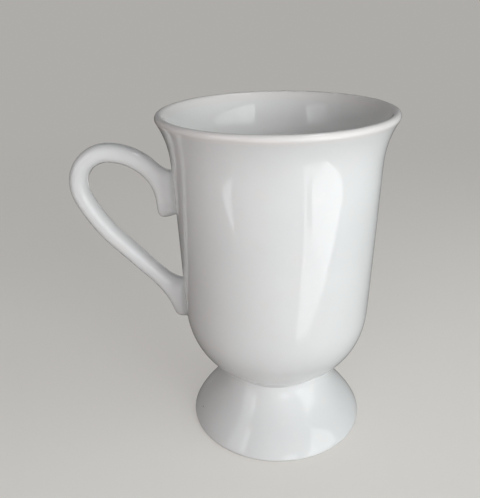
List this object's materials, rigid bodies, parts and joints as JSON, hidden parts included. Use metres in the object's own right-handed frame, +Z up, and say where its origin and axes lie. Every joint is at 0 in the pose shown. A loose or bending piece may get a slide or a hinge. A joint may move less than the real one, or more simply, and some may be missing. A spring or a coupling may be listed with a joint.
{
  "type": "footed mug",
  "caption": "Glazed white porcelain cappuccino mug: a round-bottomed bowl with a flared lip on a hollow pedestal foot, with an ear handle at the side.",
  "frame": {"origin": "on the table, under the middle of the mug's box: midway between the handle's outermost point and the far side of the lip, on the plane of the handle", "axes": "+Z up along the mug's axis, -X towards the handle, Y across the handle's plane"},
  "size_m": [0.1156, 0.0818, 0.1232],
  "materials": {
    "bowl_glaze": "clear gloss glaze over white porcelain",
    "foot_glaze": "clear gloss glaze over white porcelain, bare and matt on the ring that stands on the table",
    "handle_glaze": "clear gloss glaze over white porcelain",
    "joint_glaze": "clear gloss glaze, a little thicker where it pools in the joints"
  },
  "bodies": {
    "root": {"bowl": "bowl_glaze", "pedestal_foot": "foot_glaze", "handle": "handle_glaze", "foot_slip_joint": "joint_glaze", "upper_handle_slip_joint": "joint_glaze", "lower_handle_slip_joint": "joint_glaze"}
  },
  "joints": []
}
